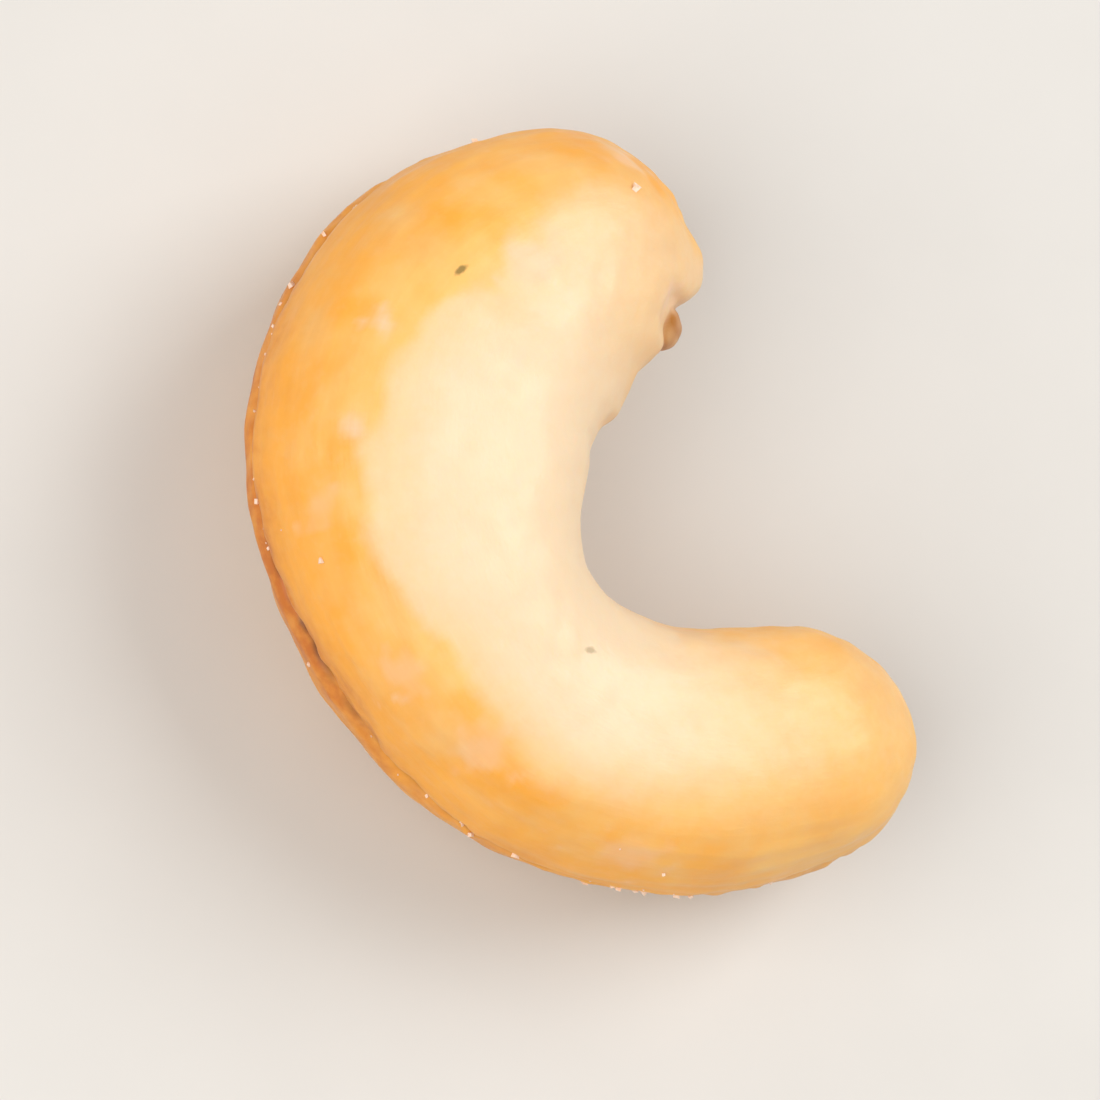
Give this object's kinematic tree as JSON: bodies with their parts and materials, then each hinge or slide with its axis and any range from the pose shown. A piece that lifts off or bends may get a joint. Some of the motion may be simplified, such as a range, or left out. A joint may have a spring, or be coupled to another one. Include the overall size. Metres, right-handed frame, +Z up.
{
  "type": "roasted cashew kernel",
  "caption": "Whole roasted cashew kernel: crescent-shaped seed with a seam round its edge and a small germ at one end, lying on its side.",
  "frame": {"origin": "middle of the kernel's outline on the table it lies on", "axes": "+X along the crescent from the germ end to the plain end, +Y out of the open side of the bend, +Z up from the table, across the seam"},
  "size_m": [0.027, 0.0184, 0.011],
  "materials": {
    "kernel": "roasted seed flesh, cream on the flat faces and golden on the back, with an oily satin sheen",
    "salt": "fine salt crystals, white and slightly translucent"
  },
  "bodies": {
    "root": {"kernel": "kernel"}
  },
  "joints": []
}
